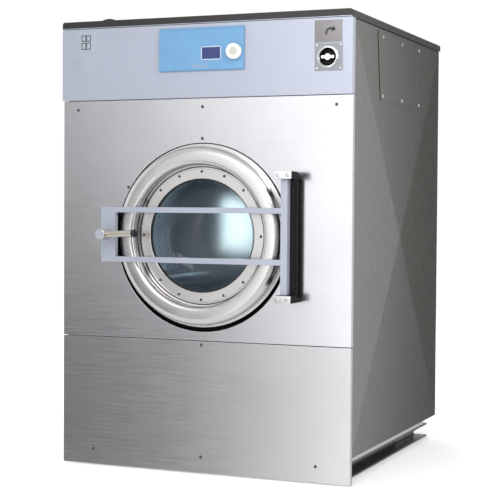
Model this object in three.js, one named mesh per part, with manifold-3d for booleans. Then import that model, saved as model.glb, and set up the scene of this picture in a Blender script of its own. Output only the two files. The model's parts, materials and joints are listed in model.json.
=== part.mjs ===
// Commercial front-loading washer-extractor with a clamped bowl door.
// Millimetres, +Z up. While it is built, the face of the middle front panel is y = 0, the rear is +y and
// x = 0 is the middle of the machine; the finished group is shifted so that the origin is the middle of
// its footprint on the floor.
import * as THREE from 'three';
import { mergeVertices } from 'three/addons/utils/BufferGeometryUtils.js';
import Module from 'manifold-3d';

const wasm = await Module();
wasm.setup();

// ---- Driving dimensions ---------------------------------------------------------------------------
const WIDTH = 1020;
const HALF = WIDTH / 2;
const DEPTH = 1029;
const SIDE_BOTTOM = 85;
const PANEL_SPLIT = 433.5;
const UPPER_BOTTOM = 1217.5;
const COVER_BOTTOM = 1454.5;
const COVER_TOP = 1479;
const UPPER_PROUD = 12;
const SHEET = 2;
const SEAM = 1;
const GAP = 0.4;

const FLANGE_DEPTH = 18;
const SIDE_OUT = HALF - 6;
const SIDE_SHEET = 1.5;
const CREASE_HEIGHT = 4;

const DOOR_Z = 774;
const OPENING_Z = 768;
const OPENING_R = 305;
const RING_R = 288;
const RING_FRONT = 42;

const HINGE_X = 321.3;
const HINGE_OUT = 30;
const COLUMN_R = 20;
const PIN_R = 8;
const BLOCK_WIDTH = 54.5;
const BLOCK_LEFT = 287;
const BLOCK_OUT = 86;
const BLOCK_HEIGHT = 23.5;
const LOWER_BLOCK_Z = 570.3;
const UPPER_BLOCK_Z = 955;

const ARM_FRONT = 75;
const ARM_BACK = 57;
const ARM_TOP = 865;
const ARM_BOTTOM = 687;
const ARM_BAR = 17.5;

const LEVER_X = -301;
const LEVER_Z = 776;
const LEVER_FRONT = 133;
const HUB_R = 18;
const LEVER_R = 10.5;
const LEVER_TILT = THREE.MathUtils.degToRad(2.4);

const DRUM_R = 392;
const DRUM_FRONT = 88;
const DRUM_BACK = 652;
const TUB_R = 430;
const TUB_FRONT = 63;
const TUB_BACK = 703;
const NECK_R = 229;
const SHAFT_R = 32;

const PULLEY_R = 205;
const PULLEY_FRONT = 872;
const PULLEY_WIDTH = 48;
const MOTOR_PULLEY_R = 44;
const MOTOR_X = -235;
const MOTOR_Z = 215;
const MOTOR_R = 95;
const MOTOR_FRONT = 505;
const MOTOR_BACK = 815;

const DRAIN_X = 60;
const DRAIN_Y = 640;
const DRAIN_Z = 165;
const DRAIN_R = 38;
const FLAP_Y = 950;
const REAR_MOST = 1075;

const ROUND = 32;
const SMALL_ROUND = 20;

// ---- Materials ------------------------------------------------------------------------------------
function finish(colour, roughness, metalness) {
  return new THREE.MeshStandardMaterial({ color: colour, roughness, metalness });
}

const stainless = () => finish(0xb9bbbe, 0.3, 1.0);
const polished = () => finish(0xd9dadc, 0.16, 1.0);
const greyPaint = () => finish(0xb2b8ca, 0.45, 0.0);
const sidePaint = () => finish(0x78766f, 0.5, 0.0);
const coverPaint = () => finish(0x4c4a4a, 0.5, 0.0);
const blackPaint = () => finish(0x16161a, 0.45, 0.0);
const darkSteel = () => finish(0x3a3c3c, 0.55, 0.8);
const zinc = () => finish(0x9aa0a4, 0.4, 1.0);
const rubber = () => finish(0x101012, 0.8, 0.0);
const bluePlastic = () => finish(0x80aed8, 0.4, 0.0);
const whitePlastic = () => finish(0xe8e6df, 0.35, 0.0);
const screenGlass = () => finish(0x2f3970, 0.15, 0.0);
const clearGlass = () => finish(0xb8c6c8, 0.05, 0.0);
const castIron = () => finish(0x4a4d52, 0.65, 0.6);
const greyPlastic = () => finish(0x8f9396, 0.5, 0.0);

// ---- Geometry helpers -----------------------------------------------------------------------------
const machine = new THREE.Group();

function add(name, geometry, material) {
  const mesh = new THREE.Mesh(geometry, material);
  mesh.name = name;
  machine.add(mesh);
  return mesh;
}

function block([x0, y0, z0], [x1, y1, z1]) {
  const geometry = new THREE.BoxGeometry(x1 - x0, y1 - y0, z1 - z0);
  return geometry.translate((x0 + x1) / 2, (y0 + y1) / 2, (z0 + z1) / 2);
}

// Solid of revolution about a line along y. The closed profile is a list of [radius, y]. A profile that
// reaches the axis starts and ends there; any other profile closes on its first point.
function turned(profile, x, z, segments = ROUND) {
  const points = profile.map(([radius, y]) => new THREE.Vector2(radius, y));
  if (THREE.ShapeUtils.area(points) < 0) points.reverse();
  const following = (place) => points[(place + 1) % points.length];
  const lastOnAxis = points.findIndex((point, place) => point.x === 0 && following(place).x === 0);
  const ordered = lastOnAxis < 0
    ? [...points, points[0].clone()]
    : [...points.slice(lastOnAxis + 1), ...points.slice(0, lastOnAxis + 1)];
  return new THREE.LatheGeometry(ordered, segments).translate(x, 0, z);
}

// Round bar along y between two depths.
function rod(radius, y0, y1, x, z, segments = SMALL_ROUND) {
  return turned([[0, y0], [radius, y0], [radius, y1], [0, y1]], x, z, segments);
}

// Outline in x and z, extruded towards the rear from y0 to y1.
function extrudedAlongY(shape, y0, y1) {
  const settings = { depth: y1 - y0, bevelEnabled: false, curveSegments: 8 };
  const geometry = new THREE.ExtrudeGeometry(shape, settings);
  const basis = new THREE.Matrix4().makeBasis(
    new THREE.Vector3(1, 0, 0), new THREE.Vector3(0, 0, 1), new THREE.Vector3(0, -1, 0));
  return geometry.applyMatrix4(basis).translate(0, y1, 0);
}

// Outline in y and z, extruded towards +x from x0 to x1.
function extrudedAlongX(shape, x0, x1) {
  const settings = { depth: x1 - x0, bevelEnabled: false, curveSegments: 8 };
  const geometry = new THREE.ExtrudeGeometry(shape, settings);
  const basis = new THREE.Matrix4().makeBasis(
    new THREE.Vector3(0, 1, 0), new THREE.Vector3(0, 0, 1), new THREE.Vector3(1, 0, 0));
  return geometry.applyMatrix4(basis).translate(x0, 0, 0);
}

function outline(points) {
  return new THREE.Shape(points.map(([u, v]) => new THREE.Vector2(u, v)));
}

function solid(geometry) {
  const bare = geometry.clone();
  bare.deleteAttribute('normal');
  bare.deleteAttribute('uv');
  const merged = mergeVertices(bare, 1e-4);
  const mesh = new wasm.Mesh({
    numProp: 3,
    vertProperties: new Float32Array(merged.attributes.position.array),
    triVerts: new Uint32Array(merged.index.array),
  });
  return new wasm.Manifold(mesh);
}

function geometryOf(body) {
  const mesh = body.getMesh();
  const geometry = new THREE.BufferGeometry();
  geometry.setAttribute('position', new THREE.BufferAttribute(new Float32Array(mesh.vertProperties), 3));
  geometry.setIndex(new THREE.BufferAttribute(new Uint32Array(mesh.triVerts), 1));
  return geometry;
}

function joined(...geometries) {
  return geometryOf(geometries.map(solid).reduce((whole, piece) => whole.add(piece)));
}

function cut(geometry, ...tools) {
  return geometryOf(tools.map(solid).reduce((body, tool) => body.subtract(tool), solid(geometry)));
}

// Folded sheet panel that faces the front, with its four edges turned to the rear.
function tray(x0, x1, y0, y1, z0, z1) {
  const shell = block([x0, y0, z0], [x1, y1, z1]);
  const hollow = block([x0 + SHEET, y0 + SHEET, z0 + SHEET], [x1 - SHEET, y1 + 1, z1 - SHEET]);
  return cut(shell, hollow);
}

// Arc of points [u, v] for a profile, in degrees.
function arc(u, v, radius, from, to, steps) {
  const points = [];
  for (let step = 0; step <= steps; step += 1) {
    const angle = THREE.MathUtils.degToRad(from + ((to - from) * step) / steps);
    points.push([u + radius * Math.cos(angle), v + radius * Math.sin(angle)]);
  }
  return points;
}

// ---- Base -----------------------------------------------------------------------------------------
const CHANNEL_OUT = HALF - 42;
const WEB_X = 412;
const CHANNEL_SHEET = 6;
const CHANNEL_TOP = 50;
const CHANNEL_FRONT = 30;
const FOOT_END = 1045;

function mirrored(geometry) {
  const copy = geometry.clone().scale(-1, 1, 1);
  if (!copy.index) copy.setIndex([...Array(copy.attributes.position.count).keys()]);
  const index = copy.index.array;
  for (let corner = 0; corner < index.length; corner += 3) {
    [index[corner], index[corner + 1]] = [index[corner + 1], index[corner]];
  }
  return copy;
}

// Rolled channel that lies on the floor with its open side outward.
function baseChannel(side) {
  const channel = extrudedAlongY(outline([
    [WEB_X, 0], [CHANNEL_OUT, 0], [CHANNEL_OUT, CHANNEL_SHEET], [WEB_X + CHANNEL_SHEET, CHANNEL_SHEET],
    [WEB_X + CHANNEL_SHEET, CHANNEL_TOP - CHANNEL_SHEET], [CHANNEL_OUT, CHANNEL_TOP - CHANNEL_SHEET],
    [CHANNEL_OUT, CHANNEL_TOP], [WEB_X, CHANNEL_TOP],
  ]), CHANNEL_FRONT, FOOT_END);
  return side > 0 ? channel : mirrored(channel);
}

// Inverted trough between the two channels.
function crossMember(y0, y1) {
  const beam = block([-WEB_X - 1, y0, CHANNEL_SHEET], [WEB_X + 1, y1, CHANNEL_TOP]);
  const hollow = block([-WEB_X + 20, y0 + CHANNEL_SHEET, -1],
    [WEB_X - 20, y1 - CHANNEL_SHEET, CHANNEL_TOP - CHANNEL_SHEET]);
  return cut(beam, hollow);
}

// Plate that stands on a cross member and carries the round tub.
function tubCradle(y0, y1) {
  const plate = extrudedAlongY(outline([
    [-300, CHANNEL_TOP - 1], [300, CHANNEL_TOP - 1], [360, 470], [-360, 470],
  ]), y0, y1);
  return cut(plate, rod(TUB_R + 1, y0 - 5, y1 + 5, 0, DOOR_Z, ROUND));
}

function baseFrame() {
  return joined(
    baseChannel(1), baseChannel(-1),
    crossMember(150, 210), crossMember(470, 530), crossMember(700, 760),
    tubCradle(170, 182), tubCradle(490, 502));
}

// Angle rail on top of the base channel that carries the lower edge of a side panel.
function sideSill(side) {
  const low = CHANNEL_TOP + GAP;
  const high = SIDE_BOTTOM - 1;
  const rear = DEPTH - 30;
  const foot = block([CHANNEL_OUT - 40, CHANNEL_FRONT, low], [CHANNEL_OUT - 2, rear, low + SHEET]);
  const web = block([CHANNEL_OUT - 2 - SHEET, CHANNEL_FRONT, low], [CHANNEL_OUT - 2, rear, high]);
  const shelf = block([CHANNEL_OUT - 2 - SHEET, CHANNEL_FRONT, high - SHEET], [SIDE_OUT - 4, rear, high]);
  const rail = joined(foot, web, shelf);
  return side > 0 ? rail : mirrored(rail);
}

add('base_frame', baseFrame(), darkSteel());
add('side_sill_right', sideSill(1), zinc());
add('side_sill_left', sideSill(-1), zinc());

// ---- Cabinet --------------------------------------------------------------------------------------
const SIDE_FRONT = FLANGE_DEPTH + 3;

// Side sheet with a raised cross-break: four flat triangles that meet in a low point in the middle.
function crossBrokenSheet() {
  const corners = [
    [SIDE_FRONT, SIDE_BOTTOM], [DEPTH, SIDE_BOTTOM],
    [DEPTH, COVER_BOTTOM - SEAM], [SIDE_FRONT, COVER_BOTTOM - SEAM],
  ];
  const middle = [(SIDE_FRONT + DEPTH) / 2, (SIDE_BOTTOM + COVER_BOTTOM - SEAM) / 2];
  const vertices = [];
  for (const face of [SIDE_OUT, SIDE_OUT - SIDE_SHEET]) {
    for (const [y, z] of corners) vertices.push(face, y, z);
    vertices.push(face + CREASE_HEIGHT, ...middle);
  }
  const faces = [];
  for (let edge = 0; edge < 4; edge += 1) {
    const next = (edge + 1) % 4;
    faces.push(edge, next, 4);
    faces.push(next + 5, edge + 5, 9);
    faces.push(edge, edge + 5, next + 5);
    faces.push(edge, next + 5, next);
  }
  const sheet = new THREE.BufferGeometry();
  sheet.setAttribute('position', new THREE.BufferAttribute(new Float32Array(vertices), 3));
  sheet.setIndex(faces);
  return sheet;
}

function sidePanel(side) {
  const inner = SIDE_OUT - 18;
  const outer = SIDE_OUT - 0.5;
  const top = COVER_BOTTOM - SEAM;
  const inset = 0.6;
  const front = SIDE_FRONT + inset;
  const rear = DEPTH - 6;
  const bottom = SIDE_BOTTOM + inset;
  const panel = joined(
    crossBrokenSheet(),
    block([inner, front, bottom], [outer, front + SHEET, top - inset]),
    block([inner, rear - SHEET, bottom], [outer, rear, top - inset]),
    block([inner + 1, front + 1, bottom + 0.2], [outer, rear - 1, bottom + SHEET]),
    block([inner + 1, front + 1, top - inset - SHEET], [outer, rear - 1, top - inset - 0.2]));
  return side > 0 ? panel : mirrored(panel);
}

add('side_panel_right', sidePanel(1), sidePaint());
add('side_panel_left', sidePanel(-1), sidePaint());

// The access cover lies flat on the upper triangle of the right cross-break; its front edge leans.
const ACCESS = { frontTop: 262, frontBottom: 290, rear: 788, bottom: 1219.5, top: 1444, sheet: 1.6 };

function accessCover() {
  const top = COVER_BOTTOM - SEAM;
  const slope = Math.atan(CREASE_HEIGHT / ((top - SIDE_BOTTOM) / 2));
  const plate = extrudedAlongX(outline([
    [ACCESS.frontBottom, ACCESS.bottom - top], [ACCESS.rear, ACCESS.bottom - top],
    [ACCESS.rear, ACCESS.top - top], [ACCESS.frontTop, ACCESS.top - top],
  ]), GAP, GAP + ACCESS.sheet);
  return plate.rotateY(-slope).translate(SIDE_OUT, 0, top);
}

add('side_access_cover', accessCover(), sidePaint());

const COVER_BEND = 9;
const HOPPER = { x0: -485, x1: -285, y0: 44, y1: 234, floor: 1335 };

function topCover() {
  const corners = [
    [-HALF, COVER_BOTTOM], [HALF, COVER_BOTTOM],
    ...arc(HALF - COVER_BEND, COVER_TOP - COVER_BEND, COVER_BEND, 0, 90, 6),
    ...arc(-HALF + COVER_BEND, COVER_TOP - COVER_BEND, COVER_BEND, 90, 180, 6),
  ];
  const lid = extrudedAlongY(outline(corners), -UPPER_PROUD, DEPTH);
  const hollow = block([-HALF + COVER_BEND, -UPPER_PROUD + SHEET, COVER_BOTTOM - 1],
    [HALF - COVER_BEND, DEPTH - SHEET, COVER_TOP - SHEET]);
  const mouth = block([HOPPER.x0 - 1, HOPPER.y0 - 1, COVER_TOP - COVER_BEND],
    [HOPPER.x1 + 1, HOPPER.y1 + 1, COVER_TOP + COVER_BEND]);
  return cut(lid, hollow, mouth);
}

add('top_cover', topCover(), coverPaint());

const LOCK = { x: 430.5, z: 1332.4, ring: 34, dish: 27, wall: 29.5 };
const LOCK_PLATE = { x0: 388.5, x1: 478, z0: 1291, z1: 1375 };
const FASCIA = { x0: -146.5, x1: 151, z0: 1303, z1: 1442, bevel: 10.5, proud: 9 };
const DISPLAY = { x0: 6.7, x1: 70, z0: 1339.5, z1: 1376 };
const KNOB = { x: 121.5, z: 1359.5, r: 25, front: 40, back: 24, stem: 5 };

function upperFrontPanel() {
  const panel = tray(-HALF, HALF, -UPPER_PROUD, FLANGE_DEPTH - 2, UPPER_BOTTOM, COVER_BOTTOM - SEAM);
  const electronicsHole = block([FASCIA.x0 + 14, -UPPER_PROUD - 5, FASCIA.z0 + 14],
    [FASCIA.x1 - 6, 0, FASCIA.z1 - 14]);
  const lockHole = rod(LOCK.wall + 1, -UPPER_PROUD - 5, 5, LOCK.x, LOCK.z);
  return cut(panel, electronicsHole, lockHole);
}

function middleFrontPanel() {
  const panel = tray(-HALF, HALF, 0, FLANGE_DEPTH, PANEL_SPLIT + SEAM, UPPER_BOTTOM - SEAM);
  return cut(panel, rod(OPENING_R, -5, 10, 0, OPENING_Z, 64));
}

function lowerFrontPanel() {
  return tray(-HALF, HALF, 0, FLANGE_DEPTH, 4.5, PANEL_SPLIT - SEAM);
}

add('upper_front_panel', upperFrontPanel(), greyPaint());
add('middle_front_panel', middleFrontPanel(), stainless());
add('lower_front_panel', lowerFrontPanel(), stainless());

// ---- Rear -----------------------------------------------------------------------------------------
const WATER_VALVES = [['water_valve_cold', -330], ['water_valve_hot', -410]];
const WATER_Z = 1385;
const VENT = { x: 215, z: 1340, r: 38 };
const SERVICE = { halfWidth: 270, z0: 480, z1: 1090 };
const BOSS_R = 14;
const REAR_FACE = DEPTH - 5;
const CUTTER_FRONT = DEPTH - 20;
const CUTTER_BACK = DEPTH + 20;

function rearPanel() {
  const plate = block([-SIDE_OUT + 3, REAR_FACE, SIDE_BOTTOM + 1],
    [SIDE_OUT - 3, REAR_FACE + SHEET, COVER_BOTTOM - SEAM]);
  const ledge = 20;
  const clearance = 3;
  const holes = [
    block([-SERVICE.halfWidth + ledge, CUTTER_FRONT, SERVICE.z0 + ledge],
      [SERVICE.halfWidth - ledge, CUTTER_BACK, SERVICE.z1 - ledge]),
    rod(DRAIN_R + clearance, CUTTER_FRONT, CUTTER_BACK, DRAIN_X, DRAIN_Z),
    rod(VENT.r + clearance, CUTTER_FRONT, CUTTER_BACK, VENT.x, VENT.z),
    ...WATER_VALVES.map(([, x]) => rod(BOSS_R + clearance, CUTTER_FRONT, CUTTER_BACK, x, WATER_Z)),
  ];
  return cut(plate, ...holes);
}

function serviceCover() {
  return tray(-SERVICE.halfWidth, SERVICE.halfWidth, DEPTH - 3 + GAP, DEPTH + 8, SERVICE.z0, SERVICE.z1)
    .rotateZ(Math.PI).translate(0, 2 * DEPTH + 5 + GAP, 0);
}

function waterValve(x) {
  const body = block([x - 24, 955, WATER_Z - 30], [x + 24, 1015, WATER_Z + 30]);
  const coil = rod(17, 900, 960, x, WATER_Z);
  const boss = rod(BOSS_R, 1010, 1062, x, WATER_Z);
  const bore = rod(BOSS_R - 4, 1030, 1070, x, WATER_Z);
  return cut(joined(body, coil, boss), bore);
}

function ventPipe() {
  const inner = VENT.r - 3;
  const front = 940;
  const back = REAR_MOST - 7;
  return turned([[inner, front], [VENT.r, front], [VENT.r, back], [inner, back]], VENT.x, VENT.z, 24);
}

function terminalBox() {
  const housing = block([330, DEPTH - 3 + GAP, 1290], [460, REAR_MOST, 1420]);
  const gland = new THREE.CylinderGeometry(15, 15, 40, 24).rotateX(Math.PI / 2).translate(395, 1056, 1275);
  const cableHole = new THREE.CylinderGeometry(9, 9, 30, 24).rotateX(Math.PI / 2).translate(395, 1056, 1260);
  return cut(joined(housing, gland), cableHole);
}

add('rear_panel', rearPanel(), sidePaint());
add('rear_service_cover', serviceCover(), sidePaint());
for (const [name, x] of WATER_VALVES) add(name, waterValve(x), greyPlastic());
add('vent_pipe', ventPipe(), greyPlastic());
add('terminal_box', terminalBox(), greyPlastic());

// ---- Controls -------------------------------------------------------------------------------------
function controlFascia() {
  const front = -UPPER_PROUD - FASCIA.proud;
  const back = -UPPER_PROUD - GAP;
  const section = outline([
    [back, FASCIA.z0], [front + 3, FASCIA.z0], [front, FASCIA.z0 + 3],
    [front, FASCIA.z1 - FASCIA.bevel], [back - 1.5, FASCIA.z1], [back, FASCIA.z1],
  ]);
  const displayHole = block([DISPLAY.x0, front - 5, DISPLAY.z0], [DISPLAY.x1, back + 5, DISPLAY.z1]);
  const stemHole = rod(KNOB.stem + 1.5, front - 5, back + 5, KNOB.x, KNOB.z);
  return cut(extrudedAlongX(section, FASCIA.x0, FASCIA.x1), displayHole, stemHole);
}

function displayWindow() {
  const margin = 0.6;
  return block([DISPLAY.x0 + margin, -UPPER_PROUD - FASCIA.proud + 1.2, DISPLAY.z0 + margin],
    [DISPLAY.x1 - margin, -UPPER_PROUD + 6, DISPLAY.z1 - margin]);
}

function electronicsBox() {
  return block([FASCIA.x0 - 20, 20, FASCIA.z0 - 50], [FASCIA.x1 + 60, 150, FASCIA.z1]);
}

function selectorStem() {
  const tip = -KNOB.front + 5;
  return turned([[0, tip], [KNOB.stem, tip], [KNOB.stem, -4], [10, -4], [10, 0], [0, 0]], KNOB.x, KNOB.z);
}

function selectorKnob() {
  const dish = 3;
  return turned([
    [KNOB.stem + 1, -KNOB.back], [KNOB.r - 1.5, -KNOB.back], [KNOB.r, -KNOB.back - 2],
    ...arc(KNOB.r - 4, -KNOB.front + 4, 4, 0, -90, 4),
    [KNOB.r - 7, -KNOB.front + 0.6], [KNOB.r - 9, -KNOB.front + dish], [0, -KNOB.front + dish],
    [0, -KNOB.front + 4.4], [KNOB.stem + 1, -KNOB.front + 4.4],
  ], KNOB.x, KNOB.z, 24);
}

add('control_fascia', controlFascia(), bluePlastic());
add('display_window', displayWindow(), screenGlass());
add('electronics_box', electronicsBox(), zinc());
add('selector_stem', selectorStem(), zinc());
add('selector_knob', selectorKnob(), whitePlastic());

// ---- Turn-lock at the upper right -----------------------------------------------------------------
const LOCK_PLATE_FRONT = UPPER_PROUD + 3;
const LOCK_RING_FRONT = UPPER_PROUD + 7;

function lockPlate() {
  const plate = block([LOCK_PLATE.x0, -LOCK_PLATE_FRONT, LOCK_PLATE.z0],
    [LOCK_PLATE.x1, -UPPER_PROUD - GAP, LOCK_PLATE.z1]);
  return cut(plate, rod(LOCK.wall + 1, -30, 0, LOCK.x, LOCK.z));
}

function lockCup() {
  return turned([
    [LOCK.ring, -LOCK_PLATE_FRONT - GAP],
    [LOCK.ring - 1, -LOCK_RING_FRONT + 1], [LOCK.ring - 3, -LOCK_RING_FRONT],
    [LOCK.dish + 1, -LOCK_RING_FRONT], [LOCK.dish, -LOCK_RING_FRONT + 2], [LOCK.dish - 3, 0],
    [6.5, 0], [6.5, 3], [LOCK.wall, 3], [LOCK.wall, -LOCK_PLATE_FRONT - GAP],
  ], LOCK.x, LOCK.z, 28);
}

// T-shaped grip inside the dish, on a stem that goes through its floor.
function lockGrip() {
  const bar = block([LOCK.x - 21, -17, LOCK.z - 4.5], [LOCK.x + 21, -6, LOCK.z + 4.5]);
  const hub = rod(10, -18, -3, LOCK.x, LOCK.z, 24);
  const stem = rod(5.5, -5, 14, LOCK.x, LOCK.z, 24);
  const keySlot = block([LOCK.x - 1.2, -25, LOCK.z - 5.5], [LOCK.x + 1.2, -14, LOCK.z + 5.5]);
  return cut(joined(bar, hub, stem), keySlot);
}

add('lock_plate', lockPlate(), polished());
add('lock_cup', lockCup(), polished());
add('lock_grip', lockGrip(), polished());

// ---- Detergent hopper -----------------------------------------------------------------------------
const HOPPER_WALL = 4;
const HOPPER_RIM = COVER_TOP + 4;
const LID_TOP = COVER_TOP + 7.5;
const GRIP_RISE = 12.5;
const GRIP_HALF_WIDTH = 38;
const GRIP_FRONT = 84;
const GRIP_BACK = 106;

function hopper() {
  const shell = joined(
    block([HOPPER.x0, HOPPER.y0, HOPPER.floor], [HOPPER.x1, HOPPER.y1, COVER_TOP + 1]),
    block([HOPPER.x0 - 6, HOPPER.y0 - 6, COVER_TOP + GAP], [HOPPER.x1 + 6, HOPPER.y1 + 6, HOPPER_RIM]));
  const cellX = (HOPPER.x1 - HOPPER.x0 - 3 * HOPPER_WALL) / 2;
  const cellY = (HOPPER.y1 - HOPPER.y0 - 3 * HOPPER_WALL) / 2;
  const cells = [];
  for (let column = 0; column < 2; column += 1) {
    for (let row = 0; row < 2; row += 1) {
      const x = HOPPER.x0 + HOPPER_WALL + column * (cellX + HOPPER_WALL);
      const y = HOPPER.y0 + HOPPER_WALL + row * (cellY + HOPPER_WALL);
      cells.push(block([x, y, HOPPER.floor + HOPPER_WALL], [x + cellX, y + cellY, HOPPER_RIM + 10]));
    }
  }
  return cut(shell, ...cells);
}

// Flat lid with a low arched finger grip near its front edge.
function hopperLid() {
  const plate = block([HOPPER.x0 - 5, HOPPER.y0 - 5, HOPPER_RIM + GAP],
    [HOPPER.x1 + 5, HOPPER.y1 + 4, LID_TOP]);
  const middle = (HOPPER.x0 + HOPPER.x1) / 2 - 2.5;
  const radius = (GRIP_HALF_WIDTH ** 2 + GRIP_RISE ** 2) / (2 * GRIP_RISE);
  const spread = THREE.MathUtils.radToDeg(Math.asin(GRIP_HALF_WIDTH / radius));
  const grip = extrudedAlongY(outline([
    ...arc(middle, LID_TOP + GRIP_RISE - radius, radius, 90 - spread, 90 + spread, 10),
    [middle - GRIP_HALF_WIDTH, LID_TOP - 2], [middle + GRIP_HALF_WIDTH, LID_TOP - 2],
  ]), GRIP_FRONT, GRIP_BACK);
  return joined(plate, grip);
}

// Hose from the floor of the hopper to the top of the tub.
function hopperHose() {
  const x = -350;
  const tubTop = DOOR_Z + Math.sqrt(TUB_R ** 2 - x ** 2);
  const path = new THREE.CatmullRomCurve3([
    new THREE.Vector3(x, 140, HOPPER.floor - GAP), new THREE.Vector3(x, 140, HOPPER.floor - 60),
    new THREE.Vector3(x + 15, 150, (HOPPER.floor + tubTop) / 2),
    new THREE.Vector3(x + 30, 165, tubTop + 120), new THREE.Vector3(x + 30, 165, tubTop + 60),
  ]);
  const section = new THREE.Shape().absarc(0, 0, 20, 0, Math.PI * 2);
  return new THREE.ExtrudeGeometry(section, { extrudePath: path, steps: 12, curveSegments: 6 });
}

add('hopper', hopper(), greyPlastic());
add('hopper_lid', hopperLid(), coverPaint());
add('hopper_hose', hopperHose(), rubber());

// ---- Door hinge -----------------------------------------------------------------------------------
const BLOCK_RIGHT = BLOCK_LEFT + BLOCK_WIDTH;

function hingeBlock(z0) {
  const section = outline([
    [-GAP, z0], [-GAP, z0 + 8], [-35, z0 + BLOCK_HEIGHT], [-BLOCK_OUT, z0 + BLOCK_HEIGHT], [-BLOCK_OUT, z0],
  ]);
  const pinHole = new THREE.CylinderGeometry(PIN_R + 0.8, PIN_R + 0.8, 60, 24)
    .rotateX(Math.PI / 2).translate(HINGE_X, -HINGE_OUT, z0 + 12);
  return cut(extrudedAlongX(section, BLOCK_LEFT, BLOCK_RIGHT), pinHole);
}

function hingeStrap(z0) {
  return block([BLOCK_LEFT, -BLOCK_OUT - 4.4, z0], [BLOCK_RIGHT, -BLOCK_OUT - GAP, z0 + BLOCK_HEIGHT]);
}

function hingeColumn() {
  const bottom = LOWER_BLOCK_Z + BLOCK_HEIGHT + 1;
  const top = UPPER_BLOCK_Z - 1;
  const profile = [
    [0, bottom - 18], [PIN_R, bottom - 18], [PIN_R, bottom], [COLUMN_R - 1, bottom], [COLUMN_R, bottom + 1],
    [COLUMN_R, top - 1], [COLUMN_R - 1, top], [PIN_R, top], [PIN_R, top + 17], [0, top + 17],
  ].map(([radius, z]) => new THREE.Vector2(radius, z));
  return new THREE.LatheGeometry(profile, SMALL_ROUND).rotateX(Math.PI / 2)
    .translate(HINGE_X, -HINGE_OUT, 0);
}

for (const [name, z0] of [['upper', UPPER_BLOCK_Z], ['lower', LOWER_BLOCK_Z]]) {
  add(`hinge_block_${name}`, hingeBlock(z0), blackPaint());
  add(`hinge_strap_${name}`, hingeStrap(z0), polished());
}
add('hinge_column', hingeColumn(), blackPaint());

// ---- Door arm -------------------------------------------------------------------------------------
const LATCH_PLATE = { x0: -327, x1: -275 };
const HINGE_BAR = { x0: 301.3, x1: 323.5 };

// Welded arm: latch plate, two cross bars, the upright along the hinge column, pads against the door ring.
function doorArm() {
  const pieces = [
    block([LATCH_PLATE.x0, -ARM_FRONT, ARM_BOTTOM], [LATCH_PLATE.x1, -ARM_BACK, ARM_TOP]),
    block([HINGE_BAR.x0, -ARM_FRONT, LOWER_BLOCK_Z + BLOCK_HEIGHT + 1.5],
      [HINGE_BAR.x1, -HINGE_OUT - COLUMN_R - GAP, UPPER_BLOCK_Z - 1.5]),
  ];
  for (const z of [ARM_BOTTOM, ARM_TOP - ARM_BAR]) {
    pieces.push(block([LATCH_PLATE.x1 - 1, -ARM_FRONT, z], [HINGE_BAR.x0 + 1, -ARM_BACK, z + ARM_BAR]));
    for (const x of [-240, 240]) {
      pieces.push(block([x - 18, -ARM_BACK - 1, z + 1], [x + 18, -RING_FRONT - GAP, z + ARM_BAR - 1]));
    }
  }
  return cut(joined(...pieces), rod(10, -ARM_FRONT - 5, -ARM_BACK + 5, LEVER_X, LEVER_Z));
}

add('door_arm', doorArm(), greyPaint());

// ---- Lever and its keeper -------------------------------------------------------------------------
const LEVER_OUT = 112;
const LEVER_END = 119;
const PLUG_LENGTH = 12;
const PLUG_R = 12;

// Round bar of the lever, from one distance to another along its tilted axis.
function leverPiece(radius, from, to) {
  const bar = new THREE.CylinderGeometry(radius, radius, to - from, 24).rotateZ(-Math.PI / 2);
  return bar.translate((from + to) / 2, 0, 0).rotateY(-LEVER_TILT).translate(LEVER_X, -LEVER_OUT, LEVER_Z);
}

// Hub in front of the latch plate, with the spindle that goes through the plate.
function leverHub() {
  const neck = ARM_FRONT + 0.8;
  const spindleR = 8;
  return turned([
    [0, -12], [spindleR, -12], [spindleR, -neck], [HUB_R - 3, -neck], [HUB_R - 3, -neck - 8],
    [HUB_R, -neck - 11], [HUB_R, -LEVER_FRONT + 2], [HUB_R - 2, -LEVER_FRONT], [0, -LEVER_FRONT],
  ], LEVER_X, LEVER_Z, 24);
}

// Latch housing on the front panel, with the slot that receives the end of the spindle.
function latchHousing() {
  const housing = block([-340, -50, 690], [-298, -GAP, 862]);
  return cut(housing, block([LEVER_X - 11, -60, LEVER_Z - 12], [-290, 5, LEVER_Z + 12]));
}

add('lever_hub', leverHub(), darkSteel());
add('lever_bar', leverPiece(LEVER_R, HUB_R + 1, LEVER_END - PLUG_LENGTH - GAP), zinc());
add('lever_plug', leverPiece(PLUG_R, LEVER_END - PLUG_LENGTH, LEVER_END), rubber());
add('latch_housing', latchHousing(), blackPaint());

// ---- Door -----------------------------------------------------------------------------------------
const RING_FLOOR = 1;
const LIP_WIDTH = 8;
const RING_SHEET = 3;
const RING_LIP_R = 227.5;
const GLASS_HOLE_R = 186;

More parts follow.
